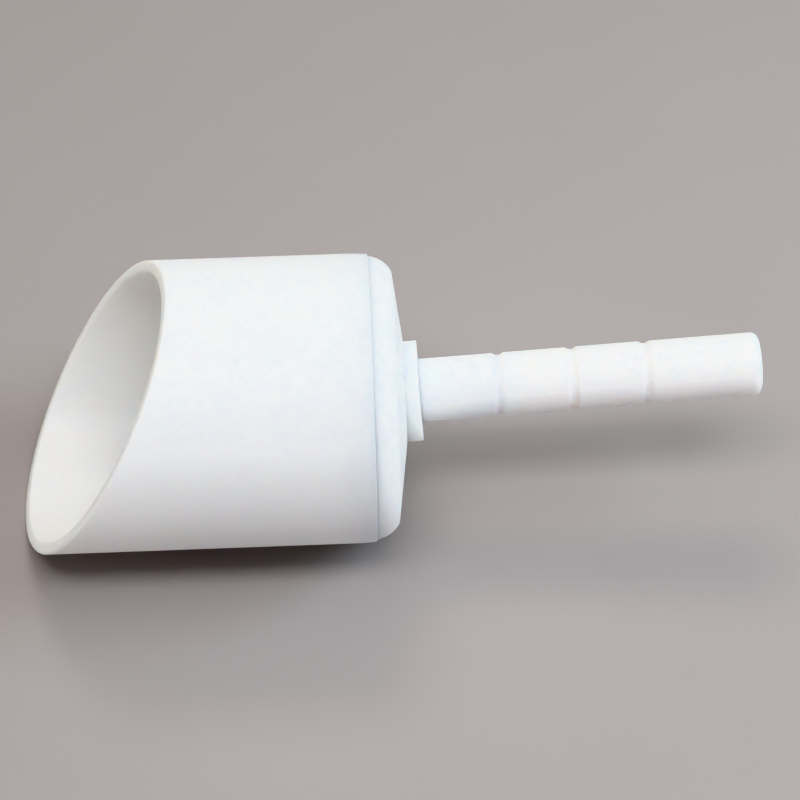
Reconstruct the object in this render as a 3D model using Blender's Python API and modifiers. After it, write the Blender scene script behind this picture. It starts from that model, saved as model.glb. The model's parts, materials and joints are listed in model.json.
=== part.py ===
"""A laboratory hand scoop turned from white PTFE, one object for each piece that comes apart.

The scoop lies on the underside of its barrel. +X runs from the mouth to the handle, +Z is up, and the XZ plane is
its mirror plane. The origin is on the surface that it lies on, under the middle of its length.

Every piece is turned, so each is a profile of (radius, station) points swept round a local Z axis. Two empties
hold those axes: one lies along the barrel, with station 0 at the barrel's rear edge, and one along the handle,
with station 0 at the seat of the collar. The handle's axis tilts up a little from the barrel's.
"""

import math

import bpy
from mathutils import Vector

# Driving dimensions, in metres and radians
OVERALL_LENGTH = 0.259
CLEARANCE = 0.0003  # left between any two pieces

BARREL_RADIUS = 0.050
BARREL_WALL = 0.004
BARREL_LENGTH = 0.125  # along the underside, from the lip to the rear edge
MOUTH_SLANT = math.radians(30)  # how far the mouth leans back from square
RIM_EASE = 0.0006  # rounding of the mouth's two edges
NECK_LENGTH = 0.005  # rear stretch of the barrel that tapers in
NECK_DROP = 0.0003  # by which its radius tapers
REAR_EASE = 0.0004

PLUG_SPIGOT = 0.010  # how far the plug reaches into the barrel
PLUG_LIP_RADIUS = 0.0492  # where the shoulder starts, at the barrel's rear edge
PLUG_CORNER_RADIUS = 0.0436  # where the shoulder meets the cone
PLUG_CORNER_STATION = 0.008
SHOULDER_CURVE = 0.010
SHOULDER_START = math.radians(22)  # slope of the shoulder at the lip, from the barrel's axis
SHOULDER_END = math.radians(62)  # and at the corner
CONE_SLOPE = math.radians(7.6)  # of the back, from square to the axis

SEAT_STATION = 0.0104  # the collar's seat, behind the barrel's rear edge
SEAT_RISE = 0.00252  # and above the barrel's axis
HANDLE_TILT = math.radians(3.8)
COLLAR_RADIUS = 0.0173
COLLAR_BACK = 0.0062  # station of the collar's outer face
COLLAR_EASE = 0.0004

GRIP_RADIUS = 0.01087
GRIP_ROUNDING = 0.0028  # of the free end
GROOVE_DEPTH = 0.00075
GROOVE_WIDTH = 0.0040
GROOVE_FIRST = 0.0275  # behind the collar's outer face
GROOVE_PITCH = 0.0252
GROOVE_COUNT = 3
SOCKET_DEPTH = 0.032  # of the blind hole in the grip

STUD_RADIUS = 0.006  # M12
STUD_INTO_PLUG = 0.0133
STUD_INTO_GRIP = 0.031
STUD_RELIEF = 0.0011  # depth of the plain neck between the two threads
STUD_CHAMFER = 0.0010
HOLE_END_GAP = 0.0008  # left beyond each end of the stud

# Where the two axes start, in the object's frame
REAR_X = BARREL_LENGTH - OVERALL_LENGTH / 2
SEAT_POINT = Vector((REAR_X + SEAT_STATION, 0, BARREL_RADIUS + SEAT_RISE))

# Facets round each kind of piece
BARREL_FACETS = 64  # few enough that the barrel lies steadily on one of them
COLLAR_FACETS = 72
GRIP_FACETS = 56
STUD_FACETS = 40

PTFE = (0.88, 0.88, 0.87, 1)
STUD_PVDF = (0.80, 0.79, 0.74, 1)


def clear_scene():
    for obj in list(bpy.data.objects):
        bpy.data.objects.remove(obj, do_unlink=True)


def new_collection(name):
    made = bpy.data.collections.new(name)
    bpy.context.scene.collection.children.link(made)
    return made


def new_material(name, colour, roughness):
    material = bpy.data.materials.new(name)
    material.use_nodes = True
    shader = material.node_tree.nodes["Principled BSDF"]
    shader.inputs["Base Color"].default_value = colour
    shader.inputs["Roughness"].default_value = roughness
    shader.inputs["Metallic"].default_value = 0
    return material


def new_axis(name, origin, tilt, collection):
    """An empty whose local Z points along +X, tilted up by this angle. Its local X then points down."""
    axis = bpy.data.objects.new(name, None)
    axis.location = origin
    axis.rotation_euler = (0, math.pi / 2 - tilt, 0)
    collection.objects.link(axis)
    return axis


def arc(centre, radius, start, end, steps):
    """Points on an arc, as (radius, station). An angle of 0 points away from the axis, and 90 degrees along it."""
    turns = [start + (end - start) * i / steps for i in range(steps + 1)]
    return [(centre[0] + radius * math.cos(a), centre[1] + radius * math.sin(a)) for a in turns]


def turned(name, profile, facets, axis, collection, material=None, closed=False):
    """Sweeps a profile round the local Z axis of an empty.

    The profile runs down the outer side, from high stations to low. Its radii are measured across the flats, and
    half a facet of turn puts a flat at the bottom. A closed profile makes a ring, an open one starts and ends on
    the axis.
    """
    across = 1 / math.cos(math.pi / facets)
    mesh = bpy.data.meshes.new(name)
    points = [(radius * across, 0, station) for radius, station in profile]
    edges = [(i, i + 1) for i in range(len(points) - 1)]
    if closed:
        edges.append((len(points) - 1, 0))
    mesh.from_pydata(points, edges, [])

    piece = bpy.data.objects.new(name, mesh)
    collection.objects.link(piece)
    piece.parent = axis
    piece.rotation_euler = (0, 0, math.pi / facets)

    sweep = piece.modifiers.new("sweep", "SCREW")
    sweep.steps = sweep.render_steps = facets
    sweep.use_merge_vertices = True
    sweep.merge_threshold = 0.00001
    sweep.use_smooth_shade = True
    if material:
        mesh.materials.append(material)
    return piece


def make_cutter(piece):
    piece.hide_render = True
    piece.display_type = "WIRE"
    return piece


def cut(piece, cutter):
    hole = piece.modifiers.new(cutter.name, "BOOLEAN")
    hole.operation = "DIFFERENCE"
    hole.solver = "EXACT"
    hole.object = cutter


def mouth_cutter(collection):
    """A block whose flat face is the plane of the mouth. It leans back from the lip, over the top of the barrel."""
    side = 4 * BARREL_RADIUS
    bpy.ops.mesh.primitive_cube_add(size=side)
    block = bpy.context.active_object
    block.name = "mouth_cutter"
    for owner in list(block.users_collection):
        owner.objects.unlink(block)
    collection.objects.link(block)
    lip = Vector((REAR_X - BARREL_LENGTH, 0, 0))
    along_plane = Vector((math.sin(MOUTH_SLANT), 0, math.cos(MOUTH_SLANT)))
    out_of_mouth = Vector((-math.cos(MOUTH_SLANT), 0, math.sin(MOUTH_SLANT)))
    block.rotation_euler = (0, MOUTH_SLANT, 0)
    block.location = lip + along_plane * BARREL_RADIUS + out_of_mouth * side / 2
    return make_cutter(block)


def make_barrel(axis, parts, cutters, material):
    inner = BARREL_RADIUS - BARREL_WALL
    rear = BARREL_RADIUS - NECK_DROP
    profile = [
        (inner + REAR_EASE, 0),
        (rear - REAR_EASE, 0),
        (rear, -REAR_EASE),
        (BARREL_RADIUS, -NECK_LENGTH),
        (BARREL_RADIUS, -BARREL_LENGTH - BARREL_WALL),
        (inner, -BARREL_LENGTH - BARREL_WALL),
        (inner, -REAR_EASE),
    ]
    barrel = turned("scoop_barrel", profile, BARREL_FACETS, axis, parts, material, closed=True)
    cut(barrel, mouth_cutter(cutters))
    rim = barrel.modifiers.new("rim", "BEVEL")
    rim.limit_method = "ANGLE"
    rim.angle_limit = math.radians(50)
    rim.width = RIM_EASE
    rim.segments = 2
    return barrel


def shoulder_points():
    """The plug's outer side from its corner to its lip: a curve, and then a straight slope tangent to it."""
    centre = (
        PLUG_CORNER_RADIUS - SHOULDER_CURVE * math.cos(SHOULDER_END),
        PLUG_CORNER_STATION - SHOULDER_CURVE * math.sin(SHOULDER_END),
    )
    return arc(centre, SHOULDER_CURVE, SHOULDER_END, SHOULDER_START, 6) + [(PLUG_LIP_RADIUS, CLEARANCE)]


def make_plug(axis, handle_axis, parts, cutters, material):
    spigot = BARREL_RADIUS - BARREL_WALL - CLEARANCE
    apex = PLUG_CORNER_STATION + PLUG_CORNER_RADIUS * math.tan(CONE_SLOPE)
    profile = [(0, apex)]
    profile += shoulder_points()
    profile += [
        (spigot, CLEARANCE),
        (spigot, -PLUG_SPIGOT + REAR_EASE),
        (spigot - REAR_EASE, -PLUG_SPIGOT),
        (0, -PLUG_SPIGOT),
    ]
    plug = turned("end_plug", profile, BARREL_FACETS, axis, parts, material)

    seat = COLLAR_RADIUS + CLEARANCE
    hole = STUD_RADIUS + CLEARANCE
    above = 2 * COLLAR_BACK
    recess_profile = [(0, above), (seat, above), (seat, 0), (hole + STUD_CHAMFER, 0)]
    recess_profile += [(hole, -STUD_CHAMFER)]
    recess_profile += [(hole, -STUD_INTO_PLUG - HOLE_END_GAP), (0, -STUD_INTO_PLUG - HOLE_END_GAP - hole / 2)]
    recess = turned("seat_cutter", recess_profile, COLLAR_FACETS, handle_axis, cutters)
    cut(plug, make_cutter(recess))
    return plug


def make_collar(handle_axis, parts, material):
    bore = STUD_RADIUS + CLEARANCE
    profile = [
        (bore, COLLAR_BACK),
        (COLLAR_RADIUS - COLLAR_EASE, COLLAR_BACK),
        (COLLAR_RADIUS, COLLAR_BACK - COLLAR_EASE),
        (COLLAR_RADIUS, CLEARANCE + COLLAR_EASE),
        (COLLAR_RADIUS - COLLAR_EASE, CLEARANCE),
        (bore, CLEARANCE),
    ]
    return turned("handle_collar", profile, COLLAR_FACETS, handle_axis, parts, material, closed=True)


def grip_end_station():
    """Where the grip ends, so that its lowest corner reaches the overall length."""
    reach = OVERALL_LENGTH - BARREL_LENGTH - SEAT_STATION - GRIP_ROUNDING
    corner = (GRIP_RADIUS - GRIP_ROUNDING) * math.sin(HANDLE_TILT)
    return (reach - corner) / math.cos(HANDLE_TILT) + GRIP_ROUNDING


def groove_points(middle):
    """One grip groove, a shallow arc across the outer side."""
    half = GROOVE_WIDTH / 2
    radius = (half**2 + GROOVE_DEPTH**2) / (2 * GROOVE_DEPTH)
    spread = math.asin(half / radius)
    centre = (GRIP_RADIUS - GROOVE_DEPTH + radius, middle)
    return arc(centre, radius, math.pi - spread, math.pi + spread, 4)


def make_grip(handle_axis, parts, material):
    end = grip_end_station()
    front = COLLAR_BACK + CLEARANCE
    socket = STUD_RADIUS + CLEARANCE
    round_centre = (GRIP_RADIUS - GRIP_ROUNDING, end - GRIP_ROUNDING)
    profile = [(0, end)] + arc(round_centre, GRIP_ROUNDING, math.pi / 2, 0, 5)
    for i in reversed(range(GROOVE_COUNT)):
        profile += groove_points(COLLAR_BACK + GROOVE_FIRST + i * GROOVE_PITCH)
    profile += [
        (GRIP_RADIUS, front),
        (socket + STUD_CHAMFER, front),
        (socket, front + STUD_CHAMFER),
        (socket, front + SOCKET_DEPTH),
        (0, front + SOCKET_DEPTH + socket / 2),
    ]
    return turned("handle_grip", profile, GRIP_FACETS, handle_axis, parts, material)


def make_stud(handle_axis, parts, material):
    top = COLLAR_BACK + STUD_INTO_GRIP
    neck = STUD_RADIUS - STUD_RELIEF
    profile = [
        (0, top),
        (STUD_RADIUS - STUD_CHAMFER, top),
        (STUD_RADIUS, top - STUD_CHAMFER),
        (STUD_RADIUS, COLLAR_BACK + STUD_RELIEF),
        (neck, COLLAR_BACK),
        (neck, 0),
        (STUD_RADIUS, -STUD_RELIEF),
        (STUD_RADIUS, -STUD_INTO_PLUG + STUD_CHAMFER),
        (STUD_RADIUS - STUD_CHAMFER, -STUD_INTO_PLUG),
        (0, -STUD_INTO_PLUG),
    ]
    return turned("handle_stud", profile, STUD_FACETS, handle_axis, parts, material)


def main():
    clear_scene()
    parts = new_collection("hand_scoop")
    cutters = new_collection("cutters")
    ptfe = new_material("ptfe", PTFE, 0.45)
    pvdf = new_material("stud_pvdf", STUD_PVDF, 0.4)

    barrel_axis = new_axis("barrel_axis", (REAR_X, 0, BARREL_RADIUS), 0, parts)
    handle_axis = new_axis("handle_axis", SEAT_POINT, HANDLE_TILT, parts)
    make_barrel(barrel_axis, parts, cutters, ptfe)
    make_plug(barrel_axis, handle_axis, parts, cutters, ptfe)
    make_collar(handle_axis, parts, ptfe)
    make_grip(handle_axis, parts, ptfe)
    make_stud(handle_axis, parts, pvdf)


main()
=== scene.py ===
"""The looks of a laboratory hand scoop turned from white PTFE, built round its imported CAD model.

Every piece is turned, so each is a loft round an axis. Most are stacks of rings of points along the axis. The
barrel's mouth is slanted, so its rings are the sections of its wall instead, set side by side round the axis.

Two axes are used, and both point from the mouth to the handle. Station 0 of the barrel's axis is at the
barrel's rear edge, and station 0 of the handle's axis is at the seat of the collar. In both, local X points
down and local Z runs along the axis. An angle of 0 is at the bottom, and the materials take their turning
marks from local coordinates.
"""

import json
import math

import bmesh
import bpy
import numpy as np
from mathutils import Matrix, Quaternion, Vector


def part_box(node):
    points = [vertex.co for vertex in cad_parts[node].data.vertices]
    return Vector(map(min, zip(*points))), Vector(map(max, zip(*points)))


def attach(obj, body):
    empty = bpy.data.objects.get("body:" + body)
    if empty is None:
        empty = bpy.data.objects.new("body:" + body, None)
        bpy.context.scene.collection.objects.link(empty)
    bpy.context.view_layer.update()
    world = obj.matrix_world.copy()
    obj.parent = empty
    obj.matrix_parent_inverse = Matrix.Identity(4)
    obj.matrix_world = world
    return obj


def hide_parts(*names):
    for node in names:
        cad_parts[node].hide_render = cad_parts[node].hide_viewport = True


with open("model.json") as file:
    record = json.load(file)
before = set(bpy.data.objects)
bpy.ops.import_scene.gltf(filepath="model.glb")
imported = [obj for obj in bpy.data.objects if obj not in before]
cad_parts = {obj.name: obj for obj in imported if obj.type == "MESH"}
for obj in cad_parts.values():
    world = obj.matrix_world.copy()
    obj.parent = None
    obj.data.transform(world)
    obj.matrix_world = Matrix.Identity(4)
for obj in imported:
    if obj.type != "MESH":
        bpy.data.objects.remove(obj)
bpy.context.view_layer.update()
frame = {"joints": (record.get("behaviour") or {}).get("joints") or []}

MM = 0.001

# Sizes that the frame gives
BARREL_LOW, BARREL_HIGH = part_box("scoop_barrel")
PLUG_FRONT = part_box("end_plug")[0].x
GRIP_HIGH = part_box("handle_grip")[1]
SCREW = next(joint for joint in frame["joints"] if joint["name"] == "handle_screw")
SEAT_POINT = Vector(SCREW["pos_m"])
HANDLE_DIRECTION = Vector(SCREW["axis"]).normalized()
BARREL_RADIUS = (BARREL_HIGH.z - BARREL_LOW.z) / 2
BARREL_LENGTH = BARREL_HIGH.x - BARREL_LOW.x
GRIP_RADIUS = GRIP_HIGH.y
COLLAR_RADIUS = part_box("handle_collar")[1].y

# The barrel
WALL = 4 * MM
MOUTH_SLANT = math.radians(30)  # how far the mouth leans back from square
RIM_ROUNDING = 0.9 * MM
LIP_CUT = RIM_ROUNDING * (math.sqrt(3) - 1)  # what the rounding takes off the lip's sharp tip
LIP_SPARE = 0.01 * MM  # keeps the lip inside the CAD model's box
LIP_REACH = BARREL_LENGTH + LIP_CUT - LIP_SPARE
NECK_LENGTH = 5 * MM  # rear stretch that tapers in
NECK_DROP = 0.3 * MM
NECK_ROUNDING = 20 * MM
REAR_ROUNDING = 0.3 * MM

# The plug
FIT_GAP = 0.03 * MM  # hairline between the barrel's bore and the plug
SEAM_GAP = 0.04 * MM  # between the barrel's rear edge and the plug's shoulder
SPIGOT_ROUNDING = 0.4 * MM
PLUG_LIP_RADIUS = 49.2 * MM
PLUG_LIP_ROUNDING = 0.15 * MM
PLUG_CORNER_RADIUS = 43.6 * MM
PLUG_CORNER_STATION = 8 * MM
PLUG_CORNER_ROUNDING = 0.25 * MM
SHOULDER_CURVE = 10 * MM
SHOULDER_START = math.radians(22)
SHOULDER_END = math.radians(62)
CONE_SLOPE = math.radians(7.6)
CONE_MARGIN = 0.6 * MM  # from the corner in to the first ring on the cone
CONE_INNER_RADIUS = 20 * MM  # of a point on the cone, which the corner's rounding turns towards
SPOT_FACE_GAP = 0.05 * MM  # round the collar
SPOT_FACE_WALL = 0.5 * MM
HOLE_CHAMFER = 0.5 * MM
EDGE_BREAK = 0.1 * MM

# The collar and the grip
COLLAR_FRONT = 0.3 * MM
COLLAR_BACK = 6.2 * MM
COLLAR_ROUNDING = 0.3 * MM
BORE_ROUNDING = 0.2 * MM
GRIP_GAP = 0.02 * MM  # between the collar and the grip
GRIP_ROUNDING = 2.8 * MM
GROOVE_DEPTH = 0.75 * MM
GROOVE_WIDTH = 4 * MM
GROOVE_FLOOR = 1.2 * MM
GROOVE_EDGE_ROUNDING = 0.8 * MM
GROOVE_FLOOR_ROUNDING = 1 * MM
GROOVE_FIRST = 27.5 * MM
GROOVE_PITCH = 25.2 * MM
GROOVE_COUNT = 3
SOCKET_DEPTH = 32 * MM
SOCKET_ROUNDING = 0.5 * MM

# The stud and its threads
THREAD_RADIUS = 6 * MM
THREAD_PITCH = 1.75 * MM
THREAD_DEPTH = 1.0 * MM
THREAD_GAP = 0.15 * MM
STUD_CLEARANCE = 0.3 * MM  # between the stud and the smooth holes that it passes through
ROOT_FLAT = 1 / 4  # of the pitch
CREST_FLAT = 1 / 8
STUD_INTO_PLUG = 13.3 * MM
STUD_INTO_GRIP = 31 * MM
STUD_CHAMFER = 1 * MM
STUD_RELIEF = 1.1 * MM
HOLE_END_GAP = 0.8 * MM

# How fine the meshes are
ARC_STEPS = 6
SHOULDER_STEPS = 16
CONE_ROWS = 12
EDGE_PASSES = 20  # to settle where the spot face cuts the cone
HOLD = 0.25 * MM  # a row this far from each rounding keeps the long faces' shading straight
HOLD_SHARE = 0.25  # of the shorter side beside a corner, which is the most that HOLD takes up
SHARP_ANGLE = math.radians(40)
MERGE_DISTANCE = 1e-7
BARREL_SEGMENTS = 256
GRIP_SEGMENTS = 160
STUD_SEGMENTS = 96
THREAD_ROWS = 16  # for each pitch

# The lathe's rings
FACE_RATE = 1.37  # how fast the rings' pattern runs out along a radius, where it runs at 1 along the axis
WANDER_SIZE = 20 * MM
WANDER_REACH = 0.4 * MM
FINE_RINGS = 0.25 * MM
BROAD_RINGS = 2.2 * MM

# The surface of PTFE
CLOUD_SIZE = 14 * MM
GRAIN_SIZE = 0.8 * MM
BROAD_HEIGHT = 0.02 * MM
FINE_HEIGHT = 0.008 * MM
GRAIN_HEIGHT = 0.006 * MM
ROUGHNESS = (0.36, 0.46)
RING_ROUGHNESS = (-0.03, 0.05)  # added by the broad rings
REFRACTION = 1.36
SCATTER_DEPTH = 7 * MM
SCATTER_SHARES = (1.0, 0.8, 0.65)  # of that depth, for red, green and blue

# The floor
FLOOR_SIZE = 40
FLOOR_MOTTLE = 60 * MM
FLOOR_ROUGHNESS = 0.6
FLOOR_LIGHT = (0.334, 0.304, 0.298, 1)
FLOOR_DARK = (0.322, 0.293, 0.287, 1)

# The light
LIGHT_DISTANCE = 1.5
CEILING_DISTANCE = 7.0
WORLD_COLOUR = (0.06, 0.056, 0.054, 1)

# The camera
CAMERA_TARGET = Vector((5.23, 0, 48.37)) * MM
CAMERA_AZIMUTH = math.radians(-2.303)
CAMERA_ELEVATION = math.radians(47.77)
CAMERA_ROLL = math.radians(-0.304)
CAMERA_DISTANCE = 865.5 * MM
CAMERA_LENS = 112.5  # this and the sensor are in millimetres
CAMERA_SENSOR = 36


def axis_matrix(origin, direction):
    """A frame with local Z along the direction, local Y along the object's +Y, and local X down."""
    side = Vector((0, 1, 0))
    down = side.cross(direction)
    turn = Matrix((down, side, direction)).transposed()
    return Matrix.Translation(origin) @ turn.to_4x4()


BARREL_AXIS = axis_matrix(Vector((BARREL_HIGH.x, 0, BARREL_RADIUS)), Vector((1, 0, 0)))
HANDLE_AXIS = axis_matrix(SEAT_POINT, HANDLE_DIRECTION)
HANDLE_TO_BARREL = np.array(BARREL_AXIS.inverted() @ HANDLE_AXIS)


def angles(segments):
    return np.arange(segments) * 2 * math.pi / segments


def rounded(corners, closed=False):
    """Points along a line of (radius, station, rounding) corners, with an arc at each rounded corner."""
    points = [np.array(corner[:2], float) for corner in corners]
    line = []
    for i, (_, _, rounding) in enumerate(corners):
        here = points[i]
        if rounding == 0 or (not closed and i in (0, len(corners) - 1)):
            line.append(here)
            continue
        before = points[i - 1] - here
        after = points[(i + 1) % len(points)] - here
        room = min(np.linalg.norm(before), np.linalg.norm(after))
        before /= np.linalg.norm(before)
        after /= np.linalg.norm(after)
        half = math.acos(np.clip(before @ after, -1, 1)) / 2
        reach = rounding / math.tan(half)
        middle = (before + after) / np.linalg.norm(before + after)
        centre = here + middle * rounding / math.sin(half)
        hold = min(HOLD, HOLD_SHARE * room)
        line.append(here + before * (reach + hold))
        start = here + before * reach - centre
        end = here + after * reach - centre
        sweep = math.pi - 2 * half
        for step in range(ARC_STEPS + 1):
            share = step / ARC_STEPS
            spoke = math.sin((1 - share) * sweep) * start + math.sin(share * sweep) * end
            line.append(centre + spoke / math.sin(sweep))
        line.append(here + after * (reach + hold))
    return np.array(line)


def arc(centre, radius, start, end, steps):
    """Points on an arc, as (radius, station, no rounding). An angle of 0 points away from the axis."""
    turns = [start + (end - start) * i / steps for i in range(steps + 1)]
    return [(centre[0] + radius * math.cos(a), centre[1] + radius * math.sin(a), 0) for a in turns]


def turned_rings(line, segments):
    """A ring for each (radius, station) point of a line."""
    turns = angles(segments)
    radius = line[:, 0][:, None]
    station = np.broadcast_to(line[:, 1][:, None], (len(line), segments))
    return np.stack([radius * np.cos(turns), radius * np.sin(turns), station], axis=2)


def loft(name, rings, closed=False):
    """A closed mesh through the rings. If closed is false, the first and last rings are each a point."""
    rows, segments, _ = rings.shape
    row = np.arange(rows if closed else rows - 1)[:, None]
    column = np.arange(segments)[None, :]
    next_row = (row + 1) % rows
    next_column = (column + 1) % segments
    corners = [row * segments + column, row * segments + next_column]
    corners += [next_row * segments + next_column, next_row * segments + column]
    faces = np.stack(corners, axis=2).reshape(-1, 4)

    mesh = bpy.data.meshes.new(name)
    mesh.from_pydata(rings.reshape(-1, 3).tolist(), [], faces.tolist())
    edit = bmesh.new()
    edit.from_mesh(mesh)
    bmesh.ops.remove_doubles(edit, verts=edit.verts, dist=MERGE_DISTANCE)
    bmesh.ops.recalc_face_normals(edit, faces=edit.faces)
    edit.to_mesh(mesh)
    edit.free()
    mesh.shade_smooth()
    mesh.set_sharp_from_angle(angle=SHARP_ANGLE)

    piece = bpy.data.objects.new(name, mesh)
    bpy.context.scene.collection.objects.link(piece)
    return piece


def place(piece, axis, node, body, slot, *materials):
    """Puts a piece on its axis, in the place of its CAD node."""
    for material in materials:
        piece.data.materials.append(material)
    piece.matrix_world = axis
    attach(piece, body)
    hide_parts(node)


# The five pieces


def barrel_section(turn):
    """The wall's closed section at one angle. The mouth's plane gives the stations of the rim there."""
    inner = BARREL_RADIUS - WALL
    rear = BARREL_RADIUS - NECK_DROP

    def rim_station(radius):
        height = BARREL_RADIUS - radius * math.cos(turn)
        return height * math.tan(MOUTH_SLANT) - LIP_REACH

    return rounded(
        [
            (inner, 0, REAR_ROUNDING),
            (rear, 0, REAR_ROUNDING),
            (BARREL_RADIUS, -NECK_LENGTH, NECK_ROUNDING),
            (BARREL_RADIUS, rim_station(BARREL_RADIUS), RIM_ROUNDING),
            (inner, rim_station(inner), RIM_ROUNDING),
        ],
        closed=True,
    )


def mark_rim(barrel):
    """Gives the barrel's second material, whose creamier tone is painted light scattered through the cut
    wall, to the faces of the cut rim.
    """
    for face in barrel.data.polygons:
        x, _, z = face.center
        behind_lip = (z + LIP_REACH) * math.cos(MOUTH_SLANT)
        from_mouth = behind_lip - (BARREL_RADIUS - x) * math.sin(MOUTH_SLANT)
        if from_mouth < RIM_ROUNDING:
            face.material_index = 1


def make_barrel(tube, rim):
    sections = np.stack([barrel_section(turn) for turn in angles(BARREL_SEGMENTS)])
    turns = angles(BARREL_SEGMENTS)[:, None]
    radius = sections[:, :, 0]
    rings = np.stack([radius * np.cos(turns), radius * np.sin(turns), sections[:, :, 1]], axis=2)
    barrel = loft("barrel_tube", rings, closed=True)
    mark_rim(barrel)
    place(barrel, BARREL_AXIS, "scoop_barrel", "scoop", "ptfe_tube", tube, rim)


def shoulder_corners():
    """The plug's outer side from its lip to its corner: a straight slope, and then a curve tangent to it."""
    centre = (
        PLUG_CORNER_RADIUS - SHOULDER_CURVE * math.cos(SHOULDER_END),
        PLUG_CORNER_STATION - SHOULDER_CURVE * math.sin(SHOULDER_END),
    )
    curve = arc(centre, SHOULDER_CURVE, SHOULDER_START, SHOULDER_END, SHOULDER_STEPS)
    corner_radius, corner_station, _ = curve[-1]
    return curve[:-1] + [(corner_radius, corner_station, PLUG_CORNER_ROUNDING)]


def cone_station(radius):
    return PLUG_CORNER_STATION + (PLUG_CORNER_RADIUS - radius) * math.tan(CONE_SLOPE)


def spot_face_edge(radius, segments):
    """Where a cylinder round the handle's axis meets the plug's cone, in the barrel's frame."""
    turns = angles(segments)
    station = np.zeros(segments)
    for _ in range(EDGE_PASSES):
        ring = np.stack([radius * np.cos(turns), radius * np.sin(turns), station, np.ones(segments)])
        point = HANDLE_TO_BARREL @ ring
        station += cone_station(np.hypot(point[0], point[1])) - point[2]
    return point[:3].T


def cone_rings(edge):
    """Rings on the cone, from its corner in to the edge of the spot face."""
    turns = angles(len(edge))
    outer = (PLUG_CORNER_RADIUS - CONE_MARGIN) * np.stack([np.cos(turns), np.sin(turns)], axis=1)
    rings = []
    for share in np.linspace(0, 1, CONE_ROWS):
        plan = outer * (1 - share) + edge[:, :2] * share
        height = cone_station(np.hypot(plan[:, 0], plan[:, 1]))
        rings.append(np.column_stack([plan, height]))
    return np.stack(rings)


def thread_height(phase):
    """0 at the root of the thread and 1 at its crest, for a phase in turns."""
    ramp = 2 * np.abs(phase % 1 - 0.5)
    return np.clip((ramp - ROOT_FLAT) / (1 - ROOT_FLAT - CREST_FLAT), 0, 1)


def threaded_rings(stations, segments, envelope):
    """Rings of a right-hand thread. The envelope gives the largest radius at each station."""
    turns = angles(segments)[None, :]
    station = stations[:, None]
    height = thread_height(station / THREAD_PITCH - turns / (2 * math.pi))
    radius = np.minimum(THREAD_RADIUS - THREAD_DEPTH * (1 - height), envelope[:, None])
    flat = np.broadcast_to(station, radius.shape)
    return np.stack([radius * np.cos(turns), radius * np.sin(turns), flat], axis=2)


def hole_rings(segments):
    """The plug's spot face and threaded hole, from the edge of the face in to the hole's end.

    They are in the barrel's frame, like the rest of the plug.
    """
    seat = COLLAR_RADIUS + SPOT_FACE_GAP
    mouth = THREAD_RADIUS + THREAD_GAP + STUD_CHAMFER
    face = rounded(
        [
            (seat, SPOT_FACE_WALL, 0),
            (seat, 0, EDGE_BREAK),
            (mouth, 0, EDGE_BREAK),
            (mouth - HOLE_CHAMFER, -HOLE_CHAMFER, 0),
        ]
    )
    end = -STUD_INTO_PLUG - HOLE_END_GAP
    stations = np.arange(-STUD_CHAMFER, end, -THREAD_PITCH / THREAD_ROWS)
    thread = threaded_rings(stations, segments, np.full(len(stations), THREAD_RADIUS))
    thread[:, :, :2] *= 1 + THREAD_GAP / THREAD_RADIUS
    tip = np.array([(THREAD_RADIUS - THREAD_DEPTH, end), (0, end - THREAD_RADIUS / 2)])
    rings = np.concatenate([turned_rings(face, segments), thread, turned_rings(tip, segments)])
    return rings @ HANDLE_TO_BARREL[:3, :3].T + HANDLE_TO_BARREL[:3, 3]


def make_plug(turned_ptfe):
    segments = BARREL_SEGMENTS
    spigot = BARREL_RADIUS - WALL - FIT_GAP
    depth = BARREL_HIGH.x - PLUG_FRONT
    front = rounded([(0, -depth, 0), (spigot, -depth, SPIGOT_ROUNDING), (spigot, -REAR_ROUNDING, 0)])
    lip = [(spigot, SEAM_GAP, 0), (PLUG_LIP_RADIUS, SEAM_GAP, PLUG_LIP_ROUNDING)]
    cone = [(CONE_INNER_RADIUS, cone_station(CONE_INNER_RADIUS), 0)]
    shoulder = rounded(lip + shoulder_corners() + cone)
    edge = spot_face_edge(COLLAR_RADIUS + SPOT_FACE_GAP + EDGE_BREAK, segments)
    rings = [
        turned_rings(front, segments),
        turned_rings(shoulder[:-1], segments),
        cone_rings(edge),
        hole_rings(segments),
    ]
    plug = loft("turned_plug", np.concatenate(rings))
    place(plug, BARREL_AXIS, "end_plug", "scoop", "ptfe_turned", turned_ptfe)


def make_collar(turned_ptfe):
    bore = THREAD_RADIUS + STUD_CLEARANCE
    line = rounded(
        [
            (bore, COLLAR_FRONT, BORE_ROUNDING),
            (COLLAR_RADIUS, COLLAR_FRONT, COLLAR_ROUNDING),
            (COLLAR_RADIUS, COLLAR_BACK, COLLAR_ROUNDING),
            (bore, COLLAR_BACK, BORE_ROUNDING),
        ],
        closed=True,
    )
    collar = loft("seat_collar", turned_rings(line, GRIP_SEGMENTS), closed=True)
    place(collar, HANDLE_AXIS, "handle_collar", "collar", "ptfe_turned", turned_ptfe)


def groove_corners(middle):
    """One grip groove: a flat floor between sloping sides, with softened edges."""
    floor = GRIP_RADIUS - GROOVE_DEPTH
    return [
        (GRIP_RADIUS, middle - GROOVE_WIDTH / 2, GROOVE_EDGE_ROUNDING),
        (floor, middle - GROOVE_FLOOR / 2, GROOVE_FLOOR_ROUNDING),
        (floor, middle + GROOVE_FLOOR / 2, GROOVE_FLOOR_ROUNDING),
        (GRIP_RADIUS, middle + GROOVE_WIDTH / 2, GROOVE_EDGE_ROUNDING),
    ]


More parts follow.
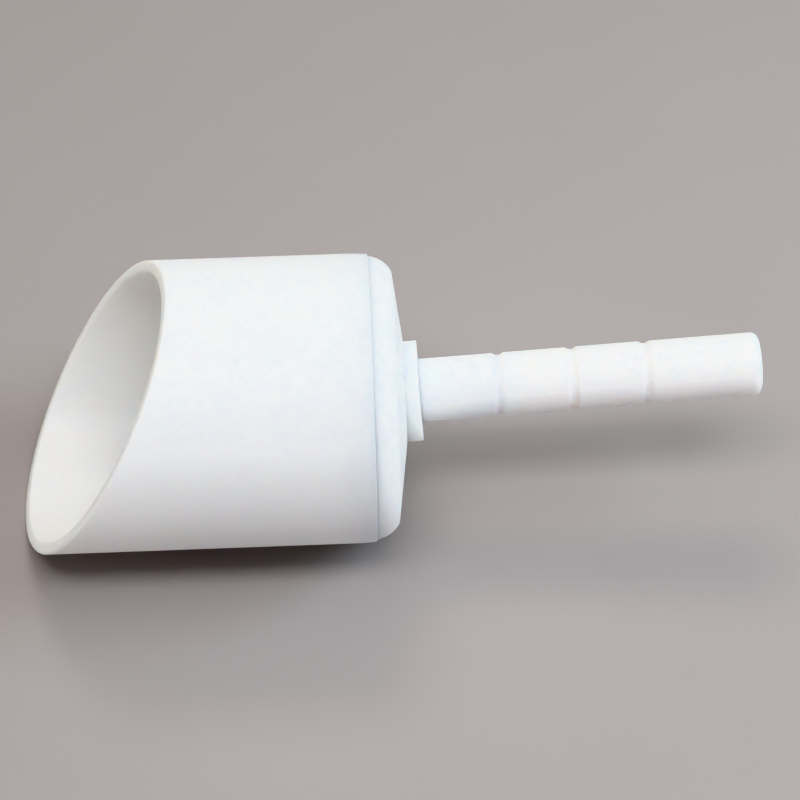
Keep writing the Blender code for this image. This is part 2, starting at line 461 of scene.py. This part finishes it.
def make_grip(turned_ptfe):
    front = COLLAR_BACK + GRIP_GAP
    tilted_end = (GRIP_RADIUS - GRIP_ROUNDING) * HANDLE_DIRECTION.z
    end_centre = GRIP_HIGH.x - SEAT_POINT.x - GRIP_ROUNDING - tilted_end
    end = end_centre / HANDLE_DIRECTION.x + GRIP_ROUNDING
    socket = THREAD_RADIUS + STUD_CLEARANCE
    corners = [(0, front + SOCKET_DEPTH, 0), (socket, front + SOCKET_DEPTH, 0)]
    corners += [(socket, front, SOCKET_ROUNDING), (GRIP_RADIUS, front, EDGE_BREAK)]
    for i in range(GROOVE_COUNT):
        corners += groove_corners(COLLAR_BACK + GROOVE_FIRST + i * GROOVE_PITCH)
    corners += [(GRIP_RADIUS, end, GRIP_ROUNDING), (0, end, 0)]
    grip = loft("grip_rod", turned_rings(rounded(corners), GRIP_SEGMENTS))
    place(grip, HANDLE_AXIS, "handle_grip", "handle", "ptfe_turned", turned_ptfe)


def make_stud(stud_plastic):
    top = COLLAR_BACK + STUD_INTO_GRIP
    neck = THREAD_RADIUS - STUD_RELIEF
    outline = [
        (-STUD_INTO_PLUG, THREAD_RADIUS - STUD_CHAMFER),
        (-STUD_INTO_PLUG + STUD_CHAMFER, THREAD_RADIUS),
        (-STUD_RELIEF, THREAD_RADIUS),
        (0, neck),
        (COLLAR_BACK, neck),
        (COLLAR_BACK + STUD_RELIEF, THREAD_RADIUS),
        (top - STUD_CHAMFER, THREAD_RADIUS),
        (top, THREAD_RADIUS - STUD_CHAMFER),
    ]
    stations = np.arange(-STUD_INTO_PLUG, top, THREAD_PITCH / THREAD_ROWS)
    envelope = np.interp(stations, *zip(*outline))
    thread = threaded_rings(stations, STUD_SEGMENTS, envelope)
    ends = [turned_rings(np.array([(0, station)]), STUD_SEGMENTS) for station in (stations[0], stations[-1])]
    stud = loft("threaded_stud", np.concatenate([ends[0], thread, ends[1]]))
    place(stud, HANDLE_AXIS, "handle_stud", "handle", "stud_plastic", stud_plastic)


# Materials


class Shader:
    """A material whose nodes are added by short calls, from values or the outputs of earlier calls."""

    def __init__(self, name):
        self.material = bpy.data.materials.new(name)
        self.material.use_nodes = True
        self.tree = self.material.node_tree
        self.principled = self.tree.nodes["Principled BSDF"]

    def add(self, kind, inputs=(), output=0, **settings):
        """Adds a node with these inputs and settings, and gives one of its outputs."""
        node = self.tree.nodes.new("ShaderNode" + kind)
        for key, value in settings.items():
            setattr(node, key, value)
        for key, value in dict(inputs).items():
            self.put(node, key, value)
        return node.outputs[output]

    def put(self, node, key, value):
        """Sets an input to a value, or links it where the value is another node's output."""
        if isinstance(value, bpy.types.NodeSocket):
            self.tree.links.new(value, node.inputs[key])
        else:
            node.inputs[key].default_value = value

    def math(self, operation, *values):
        return self.add("Math", dict(enumerate(values)), operation=operation)

    def noise(self, where, size, detail=2.0):
        """Noise with features of about this size, in metres. It is in 1D where it is given a number."""
        dimensions, key = ("1D", "W") if where.type == "VALUE" else ("3D", "Vector")
        inputs = {"Scale": 1 / size, "Detail": detail, "Roughness": 0.5, key: where}
        return self.add("TexNoise", inputs, noise_dimensions=dimensions)

    def between(self, value, low, high):
        """Takes a value from 0 to 1 to the range from low to high."""
        return self.add("MapRange", {"Value": value, "To Min": low, "To Max": high})

    def blend(self, share, first, second):
        """Mixes two colours. The numbers are the mix node's sockets for a share and for colours."""
        node = self.tree.nodes.new("ShaderNodeMix")
        node.data_type = "RGBA"
        self.put(node, 0, share)
        self.put(node, 6, first)
        self.put(node, 7, second)
        return node.outputs[2]

    def bump(self, height, distance, normal=None):
        inputs = {"Height": height, "Distance": distance, "Strength": 1.0}
        if normal is not None:
            inputs["Normal"] = normal
        return self.add("Bump", inputs)


def turning_marks(shader, where):
    """Height of the lathe's fine rings: they follow the station on a cylinder and the radius on a face."""
    parts = shader.tree.nodes.new("ShaderNodeSeparateXYZ")
    shader.put(parts, 0, where)
    x, y, z = parts.outputs
    square = shader.math("ADD", shader.math("MULTIPLY", x, x), shader.math("MULTIPLY", y, y))
    radius = shader.math("SQRT", square)
    along = shader.math("SUBTRACT", z, shader.math("MULTIPLY", radius, FACE_RATE))
    wander = shader.math("MULTIPLY", shader.noise(where, WANDER_SIZE), WANDER_REACH)
    along = shader.math("ADD", along, wander)
    fine = shader.noise(along, FINE_RINGS, detail=1)
    broad = shader.noise(along, BROAD_RINGS, detail=1)
    return fine, broad


def ptfe(name, bright, shaded, translucent=1.0):
    """Waxy white PTFE: cloudy, slightly translucent, satin, with lathe marks."""
    shader = Shader(name)
    where = shader.add("TexCoord", output="Object")
    fine, broad = turning_marks(shader, where)
    clouds = shader.noise(where, CLOUD_SIZE, detail=4)
    grain = shader.noise(where, GRAIN_SIZE, detail=3)
    colour = shader.blend(clouds, bright, shaded)
    ring_roughness = shader.between(broad, *RING_ROUGHNESS)
    roughness = shader.math("ADD", shader.between(clouds, *ROUGHNESS), ring_roughness)
    normal = shader.bump(broad, BROAD_HEIGHT)
    normal = shader.bump(fine, FINE_HEIGHT, normal=normal)
    normal = shader.bump(grain, GRAIN_HEIGHT, normal=normal)
    inputs = {
        "Base Color": colour,
        "Roughness": roughness,
        "Normal": normal,
        "IOR": REFRACTION,
        "Subsurface Weight": translucent,
        "Subsurface Radius": SCATTER_SHARES,
        "Subsurface Scale": SCATTER_DEPTH,
    }
    for key, value in inputs.items():
        shader.put(shader.principled, key, value)
    return shader.material


def make_floor():
    bpy.ops.mesh.primitive_plane_add(size=FLOOR_SIZE)
    floor = bpy.context.active_object
    floor.name = "floor"
    shader = Shader("floor_paint")
    where = shader.add("TexCoord", output="Object")
    mottle = shader.noise(where, FLOOR_MOTTLE, detail=3)
    shader.put(shader.principled, "Base Color", shader.blend(mottle, FLOOR_LIGHT, FLOOR_DARK))
    shader.put(shader.principled, "Roughness", FLOOR_ROUGHNESS)
    floor.data.materials.append(shader.material)


# Light and camera


def add_area_light(name, azimuth, elevation, size, power, colour, distance=LIGHT_DISTANCE):
    """A soft light that faces the object. Azimuth 0 is in front of it, and 90 is on its right."""
    data = bpy.data.lights.new(name, "AREA")
    data.shape = "RECTANGLE"
    data.size, data.size_y = size
    data.energy = power
    data.color = colour
    light = bpy.data.objects.new(name, data)
    bpy.context.scene.collection.objects.link(light)
    turn = math.radians(azimuth)
    rise = math.radians(elevation)
    back = Vector((math.sin(turn) * math.cos(rise), -math.cos(turn) * math.cos(rise), math.sin(rise)))
    light.location = CAMERA_TARGET + back * distance
    light.rotation_mode = "QUATERNION"
    light.rotation_quaternion = (-back).to_track_quat("-Z", "Y")


def light_scene():
    add_area_light("overhead", 0, 70, size=(1.2, 0.35), power=12.3, colour=(0.96, 0.98, 0.98))
    add_area_light("behind", 183, 56, size=(0.5, 0.35), power=4.4, colour=(1.0, 0.96, 0.82))
    add_area_light("right", 90, 36, size=(0.8, 0.8), power=19.0, colour=(0.76, 0.91, 1.0))
    add_area_light("left", 270, 8, size=(0.8, 0.4), power=4.2, colour=(0.93, 1.0, 0.86))
    add_area_light("front_fill", 0, 6, size=(1.2, 0.4), power=4.0, colour=(0.9, 0.87, 0.95))
    add_area_light(
        "ceiling", 180, 85, size=(9.0, 9.0), power=235.0, colour=(1.0, 0.86, 0.84),
        distance=CEILING_DISTANCE,
    )
    world = bpy.data.worlds.new("studio")
    world.use_nodes = True
    world.node_tree.nodes["Background"].inputs["Color"].default_value = WORLD_COLOUR
    bpy.context.scene.world = world
    bpy.context.scene.view_settings.view_transform = "Khronos PBR Neutral"


def add_camera():
    data = bpy.data.cameras.new("camera")
    data.sensor_width = CAMERA_SENSOR
    data.lens = CAMERA_LENS
    camera = bpy.data.objects.new("camera", data)
    bpy.context.scene.collection.objects.link(camera)
    side = math.cos(CAMERA_ELEVATION)
    back = Vector(
        (
            math.sin(CAMERA_AZIMUTH) * side,
            -math.cos(CAMERA_AZIMUTH) * side,
            math.sin(CAMERA_ELEVATION),
        )
    )
    roll = Quaternion((0, 0, 1), CAMERA_ROLL)
    camera.location = CAMERA_TARGET + back * CAMERA_DISTANCE
    camera.rotation_mode = "QUATERNION"
    camera.rotation_quaternion = (-back).to_track_quat("-Z", "Y") @ roll
    bpy.context.scene.camera = camera


TUBE = ptfe("ptfe_tube", (0.975, 0.97, 0.955, 1), (0.965, 0.96, 0.945, 1))
# The rim's creamier colour is painted: it stands in for light scattered through the wall's cut edge.
RIM_SCATTER_PAINT = ptfe("ptfe_rim_painted_scatter", (0.96, 0.95, 0.92, 1), (0.94, 0.93, 0.90, 1))
TURNED = ptfe("ptfe_turned", (0.975, 0.975, 0.965, 1), (0.965, 0.965, 0.955, 1))
STUD_PLASTIC = ptfe("stud_pvdf", (0.82, 0.80, 0.74, 1), (0.79, 0.77, 0.70, 1), translucent=0.2)

make_barrel(TUBE, RIM_SCATTER_PAINT)
make_plug(TURNED)
make_collar(TURNED)
make_grip(TURNED)
make_stud(STUD_PLASTIC)
make_floor()
light_scene()
add_camera()
